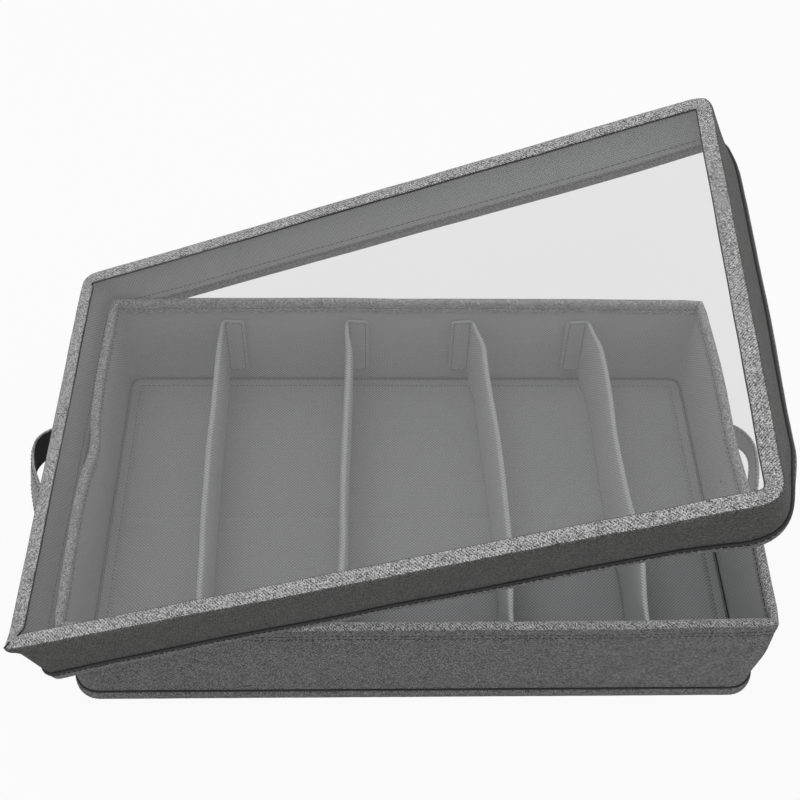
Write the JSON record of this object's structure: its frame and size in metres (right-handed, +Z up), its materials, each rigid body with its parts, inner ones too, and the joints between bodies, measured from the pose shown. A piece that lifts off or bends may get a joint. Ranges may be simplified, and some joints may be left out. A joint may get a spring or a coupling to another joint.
{
  "type": "silverware chest",
  "caption": "Fabric-covered flatware storage tray with movable dividers, end strap handles and a deep lift-off lid with a clear window.",
  "frame": {"origin": "centre of the underside, on the surface that the tray stands on", "axes": "+X along the long side to the right, +Y to the back, +Z up"},
  "size_m": [0.4866, 0.2946, 0.2478],
  "materials": {
    "cover_cloth": "heathered grey polyester canvas",
    "lining_cloth": "smooth grey non-woven, embossed",
    "binding_cloth": "folded canvas tape, stitched",
    "strap_cloth": "folded canvas strap, stitched",
    "hook_tape": "black hook tape",
    "card": "grey-brown chipboard",
    "clear_film": "clear flexible sheet"
  },
  "bodies": {
    "tray": {"base_panel": "cover_cloth", "base_binding": "binding_cloth", "outer_cover": "cover_cloth", "wall_lining": "lining_cloth", "front_wall_board": "card", "back_wall_board": "card", "left_wall_boards": "card", "right_wall_boards": "card", "floor_mat_backing": "lining_cloth", "floor_mat_front_board": "card", "floor_mat_back_board": "card", "floor_mat_cover": "lining_cloth", "left_handle_tabs": "strap_cloth", "right_handle_tabs": "strap_cloth"},
    "lid": {"lid_cover": "cover_cloth", "lid_window": "clear_film", "lid_lining": "lining_cloth", "lid_hem_binding": "binding_cloth", "lid_front_board": "card", "lid_back_board": "card", "lid_left_board": "card", "lid_right_board": "card"},
    "divider_1": {"divider_1_board": "card", "divider_1_cover": "lining_cloth", "divider_1_hook_tapes": "hook_tape"},
    "divider_2": {"divider_2_board": "card", "divider_2_cover": "lining_cloth", "divider_2_hook_tapes": "hook_tape"},
    "divider_3": {"divider_3_board": "card", "divider_3_cover": "lining_cloth", "divider_3_hook_tapes": "hook_tape"},
    "divider_4": {"divider_4_board": "card", "divider_4_cover": "lining_cloth", "divider_4_hook_tapes": "hook_tape"},
    "left_handle": {"left_handle_strap": "strap_cloth"},
    "right_handle": {"right_handle_strap": "strap_cloth"}
  },
  "joints": [
    {"name": "lid_tip", "type": "hinge", "parent": "tray", "child": "lid", "pos_m": [-0.215, 0, 0.0437], "axis": [0.1558, -0.9825, -0.1022], "range_deg": [-23.4, 16.6]},
    {"name": "divider_1_shift", "type": "slide", "parent": "tray", "child": "divider_1", "axis": [1, 0, 0], "range_m": [-0.025, 0.025]},
    {"name": "divider_2_shift", "type": "slide", "parent": "tray", "child": "divider_2", "axis": [1, 0, 0], "range_m": [-0.025, 0.025]},
    {"name": "divider_3_shift", "type": "slide", "parent": "tray", "child": "divider_3", "axis": [1, 0, 0], "range_m": [-0.025, 0.025]},
    {"name": "divider_4_shift", "type": "slide", "parent": "tray", "child": "divider_4", "axis": [1, 0, 0], "range_m": [-0.025, 0.025]},
    {"name": "left_handle_flex", "type": "hinge", "parent": "tray", "child": "left_handle", "pos_m": [-0.1982, 0, 0.0313], "axis": [0, 1, 0], "range_deg": [-28, 12]},
    {"name": "right_handle_flex", "type": "hinge", "parent": "tray", "child": "right_handle", "pos_m": [0.1982, 0, 0.0313], "axis": [0, -1, 0], "range_deg": [-28, 12]}
  ]
}
